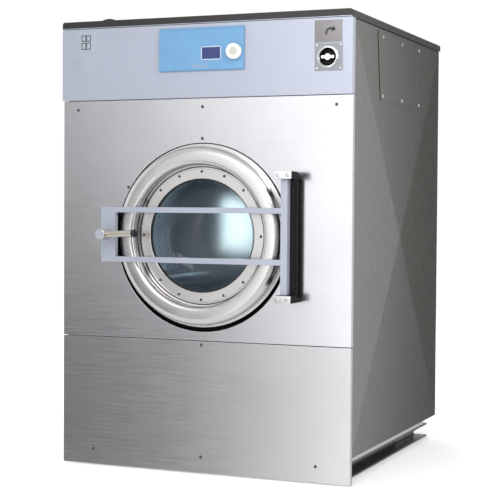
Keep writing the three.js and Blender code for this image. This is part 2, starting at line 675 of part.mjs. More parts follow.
// Dished ring: outer wall, rounded shoulder, broad face, rolled inner lip and the recessed floor.
function doorRing() {
  const shoulder = 24;
  const lip = 14;
  const outside = [
    [RING_R + LIP_WIDTH, 4], [RING_R + LIP_WIDTH, 1.5], [RING_R, 1.5],
    ...arc(RING_R - shoulder, -RING_FRONT + 1 + shoulder, shoulder, 0, -90, 3),
    ...arc(RING_LIP_R + lip, -RING_FRONT + lip, lip, -90, -180, 2),
    [RING_LIP_R, RING_FLOOR], [GLASS_HOLE_R, RING_FLOOR],
  ];
  const inside = [
    [GLASS_HOLE_R, RING_FLOOR + RING_SHEET], [RING_LIP_R + RING_SHEET, RING_FLOOR + RING_SHEET],
    ...arc(RING_LIP_R + lip, -RING_FRONT + lip, lip - RING_SHEET, -180, -90, 2),
    ...arc(RING_R - shoulder, -RING_FRONT + 1 + shoulder, shoulder - RING_SHEET, -90, 0, 3),
    [RING_R - RING_SHEET, 4],
  ];
  return turned([...outside, ...inside], 0, DOOR_Z, 44);
}

function clampRing() {
  return turned([[184, -3], [216, -3], [216, RING_FLOOR - GAP], [184, RING_FLOOR - GAP]], 0, DOOR_Z);
}

function windowGasket() {
  const front = RING_FLOOR + RING_SHEET + GAP;
  return turned([[183, front], [204, front], [204, front + 5], [183, front + 5]], 0, DOOR_Z);
}

// Bowl of glass that bulges into the drum.
function doorGlass() {
  const flange = RING_FLOOR + RING_SHEET + 6;
  const flangeR = 198;
  const bowlR = 176;
  const depth = 88;
  const thick = 6;
  const wall = (radius, drop) => arcedWall(radius, flange, drop);
  return turned([
    [flangeR, flange], [flangeR, flange + thick], [bowlR + 4, flange + thick],
    ...wall(bowlR, depth), ...wall(bowlR - thick, depth - thick).reverse(),
    [bowlR - 2, flange],
  ], 0, DOOR_Z);
}

// Points along the inside or the outside of the bowl, from its rim to the middle of its floor.
function arcedWall(radius, start, drop) {
  const points = [];
  for (let step = 1; step <= 5; step += 1) {
    const angle = (Math.PI / 2) * (step / 5);
    const bulge = Math.cos(angle) ** 0.62;
    points.push([radius * bulge, start + drop * Math.sin(angle) ** 0.9]);
  }
  points[points.length - 1][0] = 0;
  return points;
}

add('door_ring', doorRing(), stainless());
add('door_clamp_ring', clampRing(), stainless());
add('window_gasket', windowGasket(), rubber());
add('door_glass', doorGlass(), clearGlass());

// ---- Tub mouth ------------------------------------------------------------------------------------
function doorSurround() {
  return turned([
    [OPENING_R + 10, 2 + GAP], [OPENING_R + 10, 5], [OPENING_R + 1, 24], [NECK_R + 8, 46], [NECK_R + 8, 43],
    [OPENING_R - 2, 22], [OPENING_R + 4, 2 + GAP],
  ], 0, OPENING_Z + 2);
}

function doorSeal() {
  const lipFront = RING_FLOOR + RING_SHEET + GAP;
  return turned([
    [209, lipFront + 3], [212, lipFront], [226, lipFront], [NECK_R + 4, 11], [NECK_R + 4, 30],
    [NECK_R + GAP, 30], [NECK_R + GAP, 11.4], [NECK_R - 3 - GAP, 11.4], [NECK_R - 3 - GAP, 30], [219, 30],
  ], 0, DOOR_Z);
}

// Tub with a neck towards the door, a flat front and a rear wall with the shaft hole.
function tub() {
  const wall = 3;
  return turned([
    [NECK_R - wall, 12], [NECK_R, 12], [NECK_R, TUB_FRONT], [TUB_R, TUB_FRONT], [TUB_R, TUB_BACK],
    [60, TUB_BACK], [60, TUB_BACK - wall], [TUB_R - wall, TUB_BACK - wall], [TUB_R - wall, TUB_FRONT + wall],
    [NECK_R - wall, TUB_FRONT + wall],
  ], 0, DOOR_Z);
}

add('door_surround', doorSurround(), blackPaint());
add('door_seal', doorSeal(), rubber());
add('tub', tub(), stainless());

// ---- Drum -----------------------------------------------------------------------------------------
const DRUM_MOUTH_R = 236;

function drumShell() {
  const wall = 2;
  return turned([
    [DRUM_MOUTH_R, DRUM_FRONT + 9], [DRUM_MOUTH_R, DRUM_FRONT], [DRUM_R, DRUM_FRONT], [DRUM_R, DRUM_BACK],
    [40, DRUM_BACK], [40, DRUM_BACK - 3], [DRUM_R - wall, DRUM_BACK - 3], [DRUM_R - wall, DRUM_FRONT + wall],
    [DRUM_MOUTH_R + wall, DRUM_FRONT + wall], [DRUM_MOUTH_R + wall, DRUM_FRONT + 9],
  ], 0, DOOR_Z);
}

// Lifter with a rounded crest, standing inward from the drum wall.
function lifter(angle) {
  const base = DRUM_R - 12;
  const crest = 74;
  const section = outline([
    [-58, base], [58, base], [30, base - crest + 14],
    ...arc(0, base - crest + 22, 22, 0, -180, 6), [-30, base - crest + 14],
  ]);
  return extrudedAlongY(section, DRUM_FRONT + 6, DRUM_BACK - 8).rotateY(angle).translate(0, 0, DOOR_Z);
}

// Three-armed spider with the hub and the drum shaft.
function drumSpider() {
  const arms = [0, 1, 2].map((turn) => block([-32, DRUM_BACK + 3, 0], [32, DRUM_BACK + 25, 330])
    .rotateY((turn * 2 * Math.PI) / 3));
  const hub = rod(78, DRUM_BACK + GAP, DRUM_BACK + 38, 0, 0, 36);
  const shaft = rod(SHAFT_R, DRUM_BACK + 30, PULLEY_FRONT + PULLEY_WIDTH + 20, 0, 0, 36);
  return joined(...arms, hub, shaft).translate(0, 0, DOOR_Z);
}

add('drum', drumShell(), stainless());
for (let index = 0; index < 3; index += 1) {
  add(`drum_lifter_${index + 1}`, lifter((index * 2 * Math.PI) / 3), stainless());
}
add('drum_spider', drumSpider(), castIron());

// ---- Bearings and drive ---------------------------------------------------------------------------
const BEARING_R = 60;
const BEARING_WIDTH = 30;
const HOUSING_BACK = 850;

function bearingHousing() {
  const bore = BEARING_R + 0.8;
  return turned([
    [bore, TUB_BACK + GAP], [170, TUB_BACK + GAP], [170, TUB_BACK + 14], [112, TUB_BACK + 24],
    [96, HOUSING_BACK], [bore, HOUSING_BACK],
  ], 0, DOOR_Z);
}

function bearing(y0) {
  return turned([
    [SHAFT_R + 1, y0], [BEARING_R, y0], [BEARING_R, y0 + BEARING_WIDTH], [SHAFT_R + 1, y0 + BEARING_WIDTH],
  ], 0, DOOR_Z);
}

function drumPulley() {
  const front = PULLEY_FRONT;
  const back = PULLEY_FRONT + PULLEY_WIDTH;
  const web = (front + back) / 2;
  return turned([
    [SHAFT_R + 1, front], [70, front], [70, web - 7], [178, web - 7], [178, front], [PULLEY_R, front],
    [PULLEY_R, back], [178, back], [178, web + 7], [70, web + 7], [70, back], [SHAFT_R + 1, back],
  ], 0, DOOR_Z);
}

// Small pulley on the stub of the motor shaft.
function motorPulley() {
  return turned([
    [0, MOTOR_BACK + GAP], [14, MOTOR_BACK + GAP], [14, PULLEY_FRONT], [MOTOR_PULLEY_R, PULLEY_FRONT],
    [MOTOR_PULLEY_R, PULLEY_FRONT + PULLEY_WIDTH], [0, PULLEY_FRONT + PULLEY_WIDTH],
  ], MOTOR_X, MOTOR_Z, 24);
}

// Belt loop: the outline of a band stretched around both pulleys.
function driveBelt() {
  const inner = bandOutline(PULLEY_R + 1.2, MOTOR_PULLEY_R + 1.2);
  const outer = bandOutline(PULLEY_R + 9, MOTOR_PULLEY_R + 9);
  const shape = outline(outer);
  shape.holes.push(new THREE.Path(inner.map(([u, v]) => new THREE.Vector2(u, v)).reverse()));
  return extrudedAlongY(shape, PULLEY_FRONT + 3, PULLEY_FRONT + PULLEY_WIDTH - 3);
}

function bandOutline(bigRadius, smallRadius) {
  const across = MOTOR_X;
  const down = MOTOR_Z - DOOR_Z;
  const heading = THREE.MathUtils.radToDeg(Math.atan2(down, across));
  const spread = THREE.MathUtils.radToDeg(Math.acos((bigRadius - smallRadius) / Math.hypot(across, down)));
  return [
    ...arc(MOTOR_X, MOTOR_Z, smallRadius, heading - spread, heading + spread, 12),
    ...arc(0, DOOR_Z, bigRadius, heading + spread, heading - spread + 360, 36),
  ];
}

function motor() {
  const body = turned([
    [0, MOTOR_FRONT], [60, MOTOR_FRONT], [MOTOR_R - 8, MOTOR_FRONT + 15], [MOTOR_R, MOTOR_FRONT + 25],
    [MOTOR_R, MOTOR_BACK - 40], [MOTOR_R - 12, MOTOR_BACK - 25], [45, MOTOR_BACK - 15],
    [30, MOTOR_BACK], [0, MOTOR_BACK],
  ], MOTOR_X, MOTOR_Z, 24);
  const junction = block([MOTOR_X - 40, 590, MOTOR_Z + MOTOR_R - 12],
    [MOTOR_X + 40, 690, MOTOR_Z + MOTOR_R + 30]);
  return joined(body, junction);
}

function motorMount() {
  const top = MOTOR_Z - MOTOR_R - GAP;
  const bottom = CHANNEL_TOP + GAP;
  const section = outline([
    [MOTOR_X - 110, bottom], [MOTOR_X - 104, bottom], [MOTOR_X - 84, top - 8], [MOTOR_X + 84, top - 8],
    [MOTOR_X + 104, bottom], [MOTOR_X + 110, bottom], [MOTOR_X + 90, top], [MOTOR_X - 90, top],
  ]);
  return extrudedAlongY(section, MOTOR_FRONT + 1, MOTOR_BACK - 50);
}

add('bearing_housing', bearingHousing(), castIron());
add('bearing_front', bearing(TUB_BACK + 12), polished());
add('bearing_rear', bearing(HOUSING_BACK - BEARING_WIDTH - 8), polished());
add('drum_pulley', drumPulley(), castIron());
add('motor_pulley', motorPulley(), castIron());
add('drive_belt', driveBelt(), rubber());
add('motor', motor(), castIron());
add('motor_mount', motorMount(), darkSteel());

// ---- Heater and drain -----------------------------------------------------------------------------
// Hairpin heating rod in the space below the drum.
function heater() {
  const radius = (DRUM_R + TUB_R) / 2;
  const place = (degrees, y) => {
    const angle = THREE.MathUtils.degToRad(degrees);
    return new THREE.Vector3(radius * Math.cos(angle), y, DOOR_Z + radius * Math.sin(angle));
  };
  const near = 130;
  const far = TUB_BACK - 10;
  const path = new THREE.CatmullRomCurve3([
    place(-74, far), place(-74, 480), place(-74, 300), place(-74.5, near + 20), place(-78, near),
    place(-81.5, near + 20), place(-82, 300), place(-82, 480), place(-82, far),
  ]);
  const section = new THREE.Shape().absarc(0, 0, 5, 0, Math.PI * 2);
  return new THREE.ExtrudeGeometry(section, { extrudePath: path, steps: 24, curveSegments: 3 });
}

function drainValve() {
  const upright = (radius, z0, z1) => new THREE.CylinderGeometry(radius, radius, z1 - z0, SMALL_ROUND)
    .rotateX(Math.PI / 2).translate(DRAIN_X, DRAIN_Y, (z0 + z1) / 2);
  const body = joined(
    upright(DRAIN_R + 5, DRAIN_Z - DRAIN_R, 370), rod(DRAIN_R, DRAIN_Y, REAR_MOST, DRAIN_X, DRAIN_Z));
  return cut(body, rod(DRAIN_R - 3, DRAIN_Y, REAR_MOST + 15, DRAIN_X, DRAIN_Z),
    upright(DRAIN_R - 3, DRAIN_Z, 380),
    rod(TUB_R + 1, DRAIN_Y - 80, DRAIN_Y + 80, 0, DOOR_Z, ROUND));
}

// Round flap that closes the drain pipe.
function drainFlap() {
  return rod(DRAIN_R - 5, FLAP_Y - 1.5, FLAP_Y + 1.5, DRAIN_X, DRAIN_Z, 24);
}

add('heater', heater(), zinc());
add('drain_valve', drainValve(), greyPlastic());
add('drain_flap', drainFlap(), rubber());

machine.position.y = (LEVER_FRONT - REAR_MOST) / 2;

export default machine;
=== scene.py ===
# Looks of the commercial washer-extractor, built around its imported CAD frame.
# Places and sizes are millimetres in the machine's own measure unless a comment says metres: x to the right
# of the middle, depth to the rear of the middle front panel's face, z up from the floor. at() turns a place
# into the row frame.
import json
import math

import bmesh
import bpy
from mathutils import Matrix, Vector


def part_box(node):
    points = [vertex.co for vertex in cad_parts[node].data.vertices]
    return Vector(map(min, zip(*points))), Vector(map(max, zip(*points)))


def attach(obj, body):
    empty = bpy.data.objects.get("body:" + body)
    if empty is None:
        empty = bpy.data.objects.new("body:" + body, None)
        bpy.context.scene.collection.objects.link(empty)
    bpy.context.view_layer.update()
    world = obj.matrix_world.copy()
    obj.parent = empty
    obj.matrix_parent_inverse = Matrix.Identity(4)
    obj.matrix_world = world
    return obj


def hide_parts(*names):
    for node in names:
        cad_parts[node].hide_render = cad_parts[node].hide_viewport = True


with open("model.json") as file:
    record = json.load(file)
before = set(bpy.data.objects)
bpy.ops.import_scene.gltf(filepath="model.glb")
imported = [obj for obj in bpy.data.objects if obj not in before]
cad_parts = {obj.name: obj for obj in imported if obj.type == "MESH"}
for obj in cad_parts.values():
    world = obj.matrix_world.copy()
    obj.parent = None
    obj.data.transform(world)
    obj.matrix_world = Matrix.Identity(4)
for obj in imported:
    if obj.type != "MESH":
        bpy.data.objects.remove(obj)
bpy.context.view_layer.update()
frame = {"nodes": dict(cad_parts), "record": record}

MM = 1000  # millimetres in a metre
RIGHTWARD = Vector((1, 0, 0))
REARWARD = Vector((0, 1, 0))
UPWARD = Vector((0, 0, 1))
FORWARD = -REARWARD

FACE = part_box("middle_front_panel")[0][1]
BODY_OF = {node: body for body, nodes in frame["record"]["behaviour"]["bodies"].items() for node in nodes}

# Axes that run along depth are (x, z). The hinge's axis is upright and is (x, depth).
DOOR_Z = 774
DOOR_CENTRE = (0, DOOR_Z)
UPPER_FACE = -12
LEVER = (-301, 776)
LEVER_DEPTH = -112
LEVER_TILT = math.radians(2.4)
HINGE_AXIS = (321.3, -30)


def at(x, depth, z):
    """Point in metres in the row frame from a place in the machine's own millimetres."""
    return Vector((x / MM, FACE + depth / MM, z / MM))


# ---- Materials ------------------------------------------------------------------------------------
def new_material(name, colour, roughness, metallic=0.0):
    material = bpy.data.materials.new(name)
    material.use_nodes = True
    shader = material.node_tree.nodes["Principled BSDF"]
    shader.inputs["Base Color"].default_value = (*colour, 1)
    shader.inputs["Roughness"].default_value = roughness
    shader.inputs["Metallic"].default_value = metallic
    return material, material.node_tree, shader


def noise(tree, scale, stretch=(1, 1, 1), detail=4.0):
    """Noise in object coordinates, in metres, with its own stretch along each axis."""
    place = tree.nodes.new("ShaderNodeTexCoord")
    mapping = tree.nodes.new("ShaderNodeMapping")
    mapping.inputs["Scale"].default_value = stretch
    texture = tree.nodes.new("ShaderNodeTexNoise")
    texture.inputs["Scale"].default_value = scale
    texture.inputs["Detail"].default_value = detail
    tree.links.new(place.outputs["Object"], mapping.inputs["Vector"])
    tree.links.new(mapping.outputs["Vector"], texture.inputs["Vector"])
    return texture.outputs["Fac"]


# Noise between these values drives a mix from one end to the other.
NOISE_LOW = 0.3
NOISE_HIGH = 0.7


def vary_roughness(tree, shader, value, low, high):
    """Lets the roughness go from low to high with a noise value."""
    node = tree.nodes.new("ShaderNodeMapRange")
    node.inputs["From Min"].default_value = NOISE_LOW
    node.inputs["From Max"].default_value = NOISE_HIGH
    node.inputs["To Min"].default_value = low
    node.inputs["To Max"].default_value = high
    tree.links.new(value, node.inputs["Value"])
    tree.links.new(node.outputs["Result"], shader.inputs["Roughness"])


def tint(tree, shader, value, dark, light):
    """Colours the shader between two colours by a noise value."""
    ramp = tree.nodes.new("ShaderNodeValToRGB")
    ramp.color_ramp.elements[0].position = NOISE_LOW
    ramp.color_ramp.elements[1].position = NOISE_HIGH
    ramp.color_ramp.elements[0].color = (*dark, 1)
    ramp.color_ramp.elements[1].color = (*light, 1)
    tree.links.new(value, ramp.inputs["Fac"])
    tree.links.new(ramp.outputs["Color"], shader.inputs["Base Color"])


def bump(tree, shader, value, strength, distance):
    node = tree.nodes.new("ShaderNodeBump")
    node.inputs["Strength"].default_value = strength
    node.inputs["Distance"].default_value = distance
    tree.links.new(value, node.inputs["Height"])
    tree.links.new(node.outputs["Normal"], shader.inputs["Normal"])


def scaled(colour, factor):
    return tuple(min(1.0, part * factor) for part in colour)


def brushed_steel(name, colour, roughness, stretch, relief=0.0):
    """Steel with a grain that is finer along an axis with more stretch, and broad faint smudges."""
    material, tree, shader = new_material(name, colour, roughness, 1.0)
    grain = noise(tree, 9, stretch, 6)
    smudge = noise(tree, 5)
    tint(tree, shader, smudge, scaled(colour, 0.965), scaled(colour, 1.03))
    vary_roughness(tree, shader, grain, roughness - 0.03, roughness + 0.03)
    if relief:
        bump(tree, shader, grain, relief, 0.0001)
    return material


def paint(name, colour, roughness, coat=0.15, coat_roughness=0.25, gloss=0.5):
    """Sprayed paint with slight orange peel."""
    material, tree, shader = new_material(name, colour, roughness)
    shader.inputs["Specular IOR Level"].default_value = gloss
    shader.inputs["Coat Weight"].default_value = coat
    shader.inputs["Coat Roughness"].default_value = coat_roughness
    tint(tree, shader, noise(tree, 4), scaled(colour, 0.965), scaled(colour, 1.035))
    vary_roughness(tree, shader, noise(tree, 30), roughness - 0.04, roughness + 0.05)
    bump(tree, shader, noise(tree, 420), 0.02, 0.0002)
    return material


def plastic(name, colour, roughness, grain=900):
    material, tree, shader = new_material(name, colour, roughness)
    tint(tree, shader, noise(tree, 18), scaled(colour, 0.96), scaled(colour, 1.03))
    vary_roughness(tree, shader, noise(tree, 60), roughness - 0.05, roughness + 0.05)
    bump(tree, shader, noise(tree, grain), 0.06, 0.0002)
    return material


def cast_metal(name, colour):
    material, tree, shader = new_material(name, colour, 0.62, 0.4)
    tint(tree, shader, noise(tree, 40), scaled(colour, 0.75), scaled(colour, 1.25))
    bump(tree, shader, noise(tree, 260, detail=8), 0.35, 0.0008)
    return material


def door_glass():
    """Clear bowl: mostly transparent, with a blue-grey body and a sharp gloss."""
    material, tree, shader = new_material("door_glass", (0.03, 0.045, 0.05), 0.05)
    shader.inputs["Alpha"].default_value = 0.3
    shader.inputs["Specular IOR Level"].default_value = 0.3
    shader.inputs["Coat Weight"].default_value = 0.6
    shader.inputs["Coat Roughness"].default_value = 0.02
    tint(tree, shader, noise(tree, 6), (0.06, 0.08, 0.1), (0.075, 0.1, 0.12))
    return material


MATERIALS = {
    "stainless": brushed_steel("stainless", (0.68, 0.68, 0.71), 0.22, (1, 1, 90), 0.01),
    # Painted shade: a darker copy of the stainless, used for the lower front panel.
    "shaded_lower_steel": brushed_steel("shaded_lower_steel", (0.6, 0.6, 0.615), 0.23, (1, 1, 90), 0.01),
    "door_steel": brushed_steel("door_steel", (0.7, 0.685, 0.68), 0.27, (1, 1, 1)),
    # Painted shade: the drum's steel, made dark blue-grey to stand in for the shade inside the drum.
    "shaded_drum_steel": brushed_steel("shaded_drum_steel", (0.33, 0.37, 0.43), 0.4, (1, 40, 1)),
    "polished_steel": brushed_steel("polished_steel", (0.83, 0.84, 0.86), 0.14, (1, 1, 30)),
    "plate_steel": brushed_steel("plate_steel", (0.3, 0.315, 0.335), 0.34, (1, 1, 60)),
    "zinc": brushed_steel("zinc", (0.64, 0.65, 0.65), 0.36, (20, 20, 20)),
    "nickel": brushed_steel("nickel", (0.62, 0.59, 0.52), 0.24, (8, 60, 60)),
    "grey_paint": paint("grey_paint", (0.34, 0.366, 0.452), 0.32, 1.0, 0.2, 0.8),
    "side_paint": paint("side_paint", (0.045, 0.0455, 0.036), 0.4, 1.0, 0.09, 0.08),
    "cover_paint": paint("cover_paint", (0.035, 0.035, 0.036), 0.4, 0.35, 0.12, 0.06),
    "black_paint": paint("black_paint", (0.005, 0.005, 0.007), 0.5, 0.0, gloss=0.18),
    "dark_steel": paint("dark_steel", (0.06, 0.06, 0.06), 0.45),
    "black_rubber": plastic("black_rubber", (0.014, 0.014, 0.015), 0.62, 500),
    "blue_plastic": plastic("blue_plastic", (0.14, 0.315, 0.53), 0.36),
    "screen": plastic("screen", (0.025, 0.04, 0.15), 0.14, 60),
    "white_plastic": plastic("white_plastic", (0.8, 0.79, 0.74), 0.3),
    "cream_plastic": plastic("cream_plastic", (0.5, 0.5, 0.46), 0.34),
    "grey_plastic": plastic("grey_plastic", (0.26, 0.28, 0.29), 0.46),
    "label_grey": plastic("label_grey", (0.35, 0.39, 0.45), 0.45),
    "label_taupe": plastic("label_taupe", (0.2, 0.19, 0.195), 0.42),
    "label_ink": plastic("label_ink", (0.02, 0.024, 0.03), 0.5),
    "faint_ink": plastic("faint_ink", (0.34, 0.38, 0.45), 0.5),
    "pale_ink": plastic("pale_ink", (0.5, 0.58, 0.74), 0.4),
    "cast_iron": cast_metal("cast_iron", (0.085, 0.09, 0.1)),
    "perforation": plastic("perforation", (0.02, 0.025, 0.03), 0.6),
    "door_glass": door_glass(),
}


# ---- Mesh helpers ---------------------------------------------------------------------------------
SHARP_ANGLE = 32  # degrees
CREASE_ANGLE = 45  # degrees


def finish_piece(name, mesh_data, material, body, sharp=SHARP_ANGLE):
    """Turns a bmesh into a piece that rides on a body: outward faces, smooth up to the sharp angle."""
    bmesh.ops.recalc_face_normals(mesh_data, faces=mesh_data.faces)
    for face in mesh_data.faces:
        face.smooth = True
    for edge in mesh_data.edges:
        if len(edge.link_faces) != 2 or edge.calc_face_angle(0) > math.radians(sharp):
            edge.smooth = False
    mesh = bpy.data.meshes.new(name)
    mesh_data.to_mesh(mesh)
    mesh_data.free()
    mesh.materials.append(MATERIALS[material])
    piece = bpy.data.objects.new(name, mesh)
    bpy.context.scene.collection.objects.link(piece)
    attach(piece, body)
    return piece


def stand_for(name, mesh_data, material, node, sharp=SHARP_ANGLE):
    """A finer piece in the place of a CAD node, on its body."""
    piece = finish_piece(name, mesh_data, material, BODY_OF[node], sharp)
    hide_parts(node)
    return piece


MERGE_DISTANCE = 2e-6  # metres
FLAT_ANGLE = math.radians(0.2)
EDGE_SEGMENTS = 2


def round_edges(mesh_data, edges, width):
    """Rounds edges with a bevel of a width in millimetres."""
    bmesh.ops.bevel(
        mesh_data, geom=edges, offset=width / MM, segments=EDGE_SEGMENTS, profile=0.5, affect="EDGES",
        clamp_overlap=True)


def refine(node, material, width, crease=CREASE_ANGLE):
    """Finer copy of a CAD node, with its flat faces made whole and its hard edges rounded."""
    mesh_data = bmesh.new()
    mesh_data.from_mesh(frame["nodes"][node].data)
    bmesh.ops.remove_doubles(mesh_data, verts=mesh_data.verts, dist=MERGE_DISTANCE)
    bmesh.ops.dissolve_limit(
        mesh_data, angle_limit=FLAT_ANGLE, verts=mesh_data.verts, edges=mesh_data.edges)
    limit = math.radians(SHARP_ANGLE)
    hard = [edge for edge in mesh_data.edges if len(edge.link_faces) == 2 and edge.calc_face_angle(0) > limit]
    round_edges(mesh_data, hard, width)
    piece = stand_for(f"{node}_shell", mesh_data, material, node, sharp=crease)
    flat = piece.modifiers.new("flat_faces", "WEIGHTED_NORMAL")
    flat.weight = 100
    flat.keep_sharp = True


def arc(u, v, radius, start, end, steps):
    """Points of an arc about (u, v), from the start angle to the end angle in degrees."""
    angles = [math.radians(start + (end - start) * step / steps) for step in range(steps + 1)]
    return [(u + radius * math.cos(angle), v + radius * math.sin(angle)) for angle in angles]


def add_ring(mesh_data, centre, radius, across, upward, steps):
    """Adds a ring of vertices, or a single one where the radius is nothing. The centre is in metres."""
    turns = [2 * math.pi * step / steps for step in range(steps if radius else 1)]
    return [mesh_data.verts.new(centre + (across * math.cos(turn) + upward * math.sin(turn)) * radius / MM)
            for turn in turns]


def skin(mesh_data, rings):
    """Joins each ring of vertices to the next. A ring of one vertex closes an end to a point."""
    steps = max(len(ring) for ring in rings)
    for first, second in zip(rings, rings[1:]):
        if len(first) == 1 and len(second) == 1:
            continue
        for step in range(steps):
            after = (step + 1) % steps
            corners = [first[step % len(first)], first[after % len(first)],
                       second[after % len(second)], second[step % len(second)]]
            mesh_data.faces.new(list(dict.fromkeys(corners)))


def revolve(profile, centre, segments=96):
    """Solid of revolution about a line along depth, from a closed profile of (radius, depth)."""
    mesh_data = bmesh.new()
    rings = [add_ring(mesh_data, at(centre[0], depth, centre[1]), radius, RIGHTWARD, UPWARD, segments)
             for radius, depth in profile]
    skin(mesh_data, rings + rings[:1])
    return mesh_data


def add_box(mesh_data, low, high):
    """Adds a box between two corners given as (x, depth, z), the first with the smaller values."""
    middle = (at(*low) + at(*high)) / 2
    size = at(*high) - at(*low)
    matrix = Matrix.Translation(middle) @ Matrix.Diagonal((*size, 1))
    bmesh.ops.create_cube(mesh_data, size=1, matrix=matrix)


def boxes(name, corners, material, body, width):
    """One piece of several separate boxes with rounded edges."""
    mesh_data = bmesh.new()
    for low, high in corners:
        add_box(mesh_data, low, high)
    round_edges(mesh_data, mesh_data.edges[:], width)
    finish_piece(name, mesh_data, material, body)


def bars_round(low, high, width, depths):
    """Corners of four bars along the inside of a rectangle between two (x, z) corners."""
    x0, z0 = low
    x1, z1 = high
    front, back = depths
    return [
        ((x0, front, z0), (x0 + width, back, z1)),
        ((x1 - width, front, z0), (x1, back, z1)),
        ((x0, front, z0), (x1, back, z0 + width)),
        ((x0, front, z1 - width), (x1, back, z1)),
    ]


# Section of a screw head from the bottom of its socket out to its rim, in shares of radius and height.
SCREW_OUTLINE = [(0, 0.35), (0.36, 0.35), (0.42, 0.95), (0.72, 0.9), (0.92, 0.55), (1, 0.1), (1, 0)]
SCREW_STEPS = 20


def screws(name, places, radius, height, facing, material, body):
    """One piece of domed socket screws. A place is where the head meets the surface, as (x, depth, z)."""
    turn = UPWARD.rotation_difference(facing).to_matrix()
    across = turn @ RIGHTWARD
    upward = turn @ REARWARD
    mesh_data = bmesh.new()
    for place in places:
        rings = [add_ring(mesh_data, at(*place) + facing * rise * height / MM, share * radius, across, upward,
                          SCREW_STEPS)
                 for share, rise in SCREW_OUTLINE]
        skin(mesh_data, rings)
        mesh_data.faces.new(rings[-1])
    finish_piece(name, mesh_data, material, body)


# ---- Cabinet --------------------------------------------------------------------------------------
def cabinet():
    refine("upper_front_panel", "grey_paint", 1.6)
    refine("middle_front_panel", "stainless", 1.4)
    # The lower front panel gets the darkened copy of the stainless, which is painted shade.
    refine("lower_front_panel", "shaded_lower_steel", 1.4)
    refine("top_cover", "cover_paint", 1.2)
    for side in ("left", "right"):
        refine(f"side_panel_{side}", "side_paint", 0.5, crease=0.3)
        refine(f"side_sill_{side}", "zinc", 0.6)
    refine("side_access_cover", "side_paint", 0.5)
    refine("rear_panel", "side_paint", 0.6)
    refine("rear_service_cover", "side_paint", 1.0)
    refine("base_frame", "dark_steel", 1.0)
    bead = ((-508, -13.2, 1455), (508, -11, 1457.5))
    boxes("cover_bead", [bead], "grey_paint", "cabinet", 0.9)


def front_screws():
    """Screws of the middle and lower front panels."""
    face = -0.2
    side = 455.6
    foot_side = 395
    foot_z = 56
    spots = [(-side, 1187), (0, 1189), (side, 1187), (0, 1087), (-266, 930), (0, 420)]
    spots += [(x, foot_z) for x in (-foot_side, 0, foot_side)]
    places = [(x, face, z) for x, z in spots]
    screws("front_screws", places, 5.2, 2.6, FORWARD, "dark_steel", "cabinet")


def access_screws():
    face = 507.2
    places = [(face, depth, z) for depth in (314, 534, 746) for z in (1234, 1427)]
    screws("access_screws", places, 6, 2.4, RIGHTWARD, "zinc", "cabinet")


def floor_anchors():
    """Plates with two bolts on the web of each base channel near the rear."""
    web, outside = 418.2, 421.2
    bolt_z = 27
    for side, name in ((1, "right"), (-1, "left")):
        low, high = sorted((side * web, side * outside))
        plate = ((low, 790, 8), (high, 985, 43))
        bolts = [(side * outside, depth, bolt_z) for depth in (840, 935)]
        boxes(f"anchor_plate_{name}", [plate], "zinc", "cabinet", 0.6)
        screws(f"anchor_bolts_{name}", bolts, 9, 7, side * RIGHTWARD, "zinc", "cabinet")


# ---- Rear -----------------------------------------------------------------------------------------
def rear():
    for node in ("water_valve_cold", "water_valve_hot", "vent_pipe", "terminal_box", "drain_valve"):
        refine(node, "grey_plastic", 0.8)
    cover_depth = (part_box("rear_service_cover")[1][1] - FACE) * MM
    louvres(cover_depth)
    middle_z = 785
    spots = [(x, z) for x in (-255, 0, 255) for z in (495, middle_z, 1075) if (x, z) != (0, middle_z)]
    cover_edge = [(x, cover_depth, z) for x, z in spots]
    screws("service_screws", cover_edge, 6, 3, REARWARD, "zinc", "cabinet")
    panel_depth = 1026
    panel_edge = [(x, panel_depth, z) for x in (-485, 485) for z in (110, 420, 740, 1060, 1430)]
    screws("rear_screws", panel_edge, 5.5, 2.6, REARWARD, "zinc", "cabinet")


def louvres(depth):
    """Two columns of pressed louvres on the rear service cover."""
    rows = 9
    pitch = 26
    height = 9
    top_row = 930
    column_x = 110
    half_length = 80
    proud = 5
    corners = []
    for row in range(rows):
        for column in (-1, 1):
            middle = column * column_x
            z = top_row - row * pitch
            corners.append(((middle - half_length, depth - 0.5, z),
                            (middle + half_length, depth + proud, z + height)))
    boxes("service_louvres", corners, "side_paint", "cabinet", 3.2)


# ---- Controls -------------------------------------------------------------------------------------
KNOB = (121.5, 1359.5)


def controls():
    refine("control_fascia", "blue_plastic", 0.8)
    refine("display_window", "screen", 0.6)
    refine("electronics_box", "zinc", 1.0)
    front = -21
    border = bars_round((3.2, 1336), (73.5, 1379.5), 3.2, (front - 0.9, front + 1))
    boxes("display_border", border, "pale_ink", "cabinet", 0.4)
    lines = [((-32, front - 0.35, 1311 + 4 * row), (26, front + 0.3, 1312.4 + 4 * row)) for row in range(4)]
    boxes("fascia_strip", lines, "faint_ink", "cabinet", 0.1)


def knob():
    """Skirted dial with a rounded white ring and a shallow cream dish in its middle."""
    ring = [(6, -24), (23.8, -24), (25, -25.4), *arc(21.4, -36.4, 3.6, 0, -90, 10)[1:], (18.6, -40),
            (15.2, -39.2), (13.6, -38.2), (6, -37.4), (6, -30)]
    dish = [(0, -38.2), (10, -38.3), (13.2, -38.7), (13.2, -37.8), (0, -37.8)]
    stem = [(0, -35), (5, -35), (5, -4), (10, -4), (10, 0), (0, 0)]
    stand_for("dial_ring", revolve(ring, KNOB), "white_plastic", "selector_knob")
    finish_piece("dial_dish", revolve(dish, KNOB), "cream_plastic", "selector")
    stand_for("dial_stem", revolve(stem, KNOB, 48), "zinc", "selector_stem")


# ---- Turn-lock ------------------------------------------------------------------------------------
LOCK = (430.5, 1332.4)


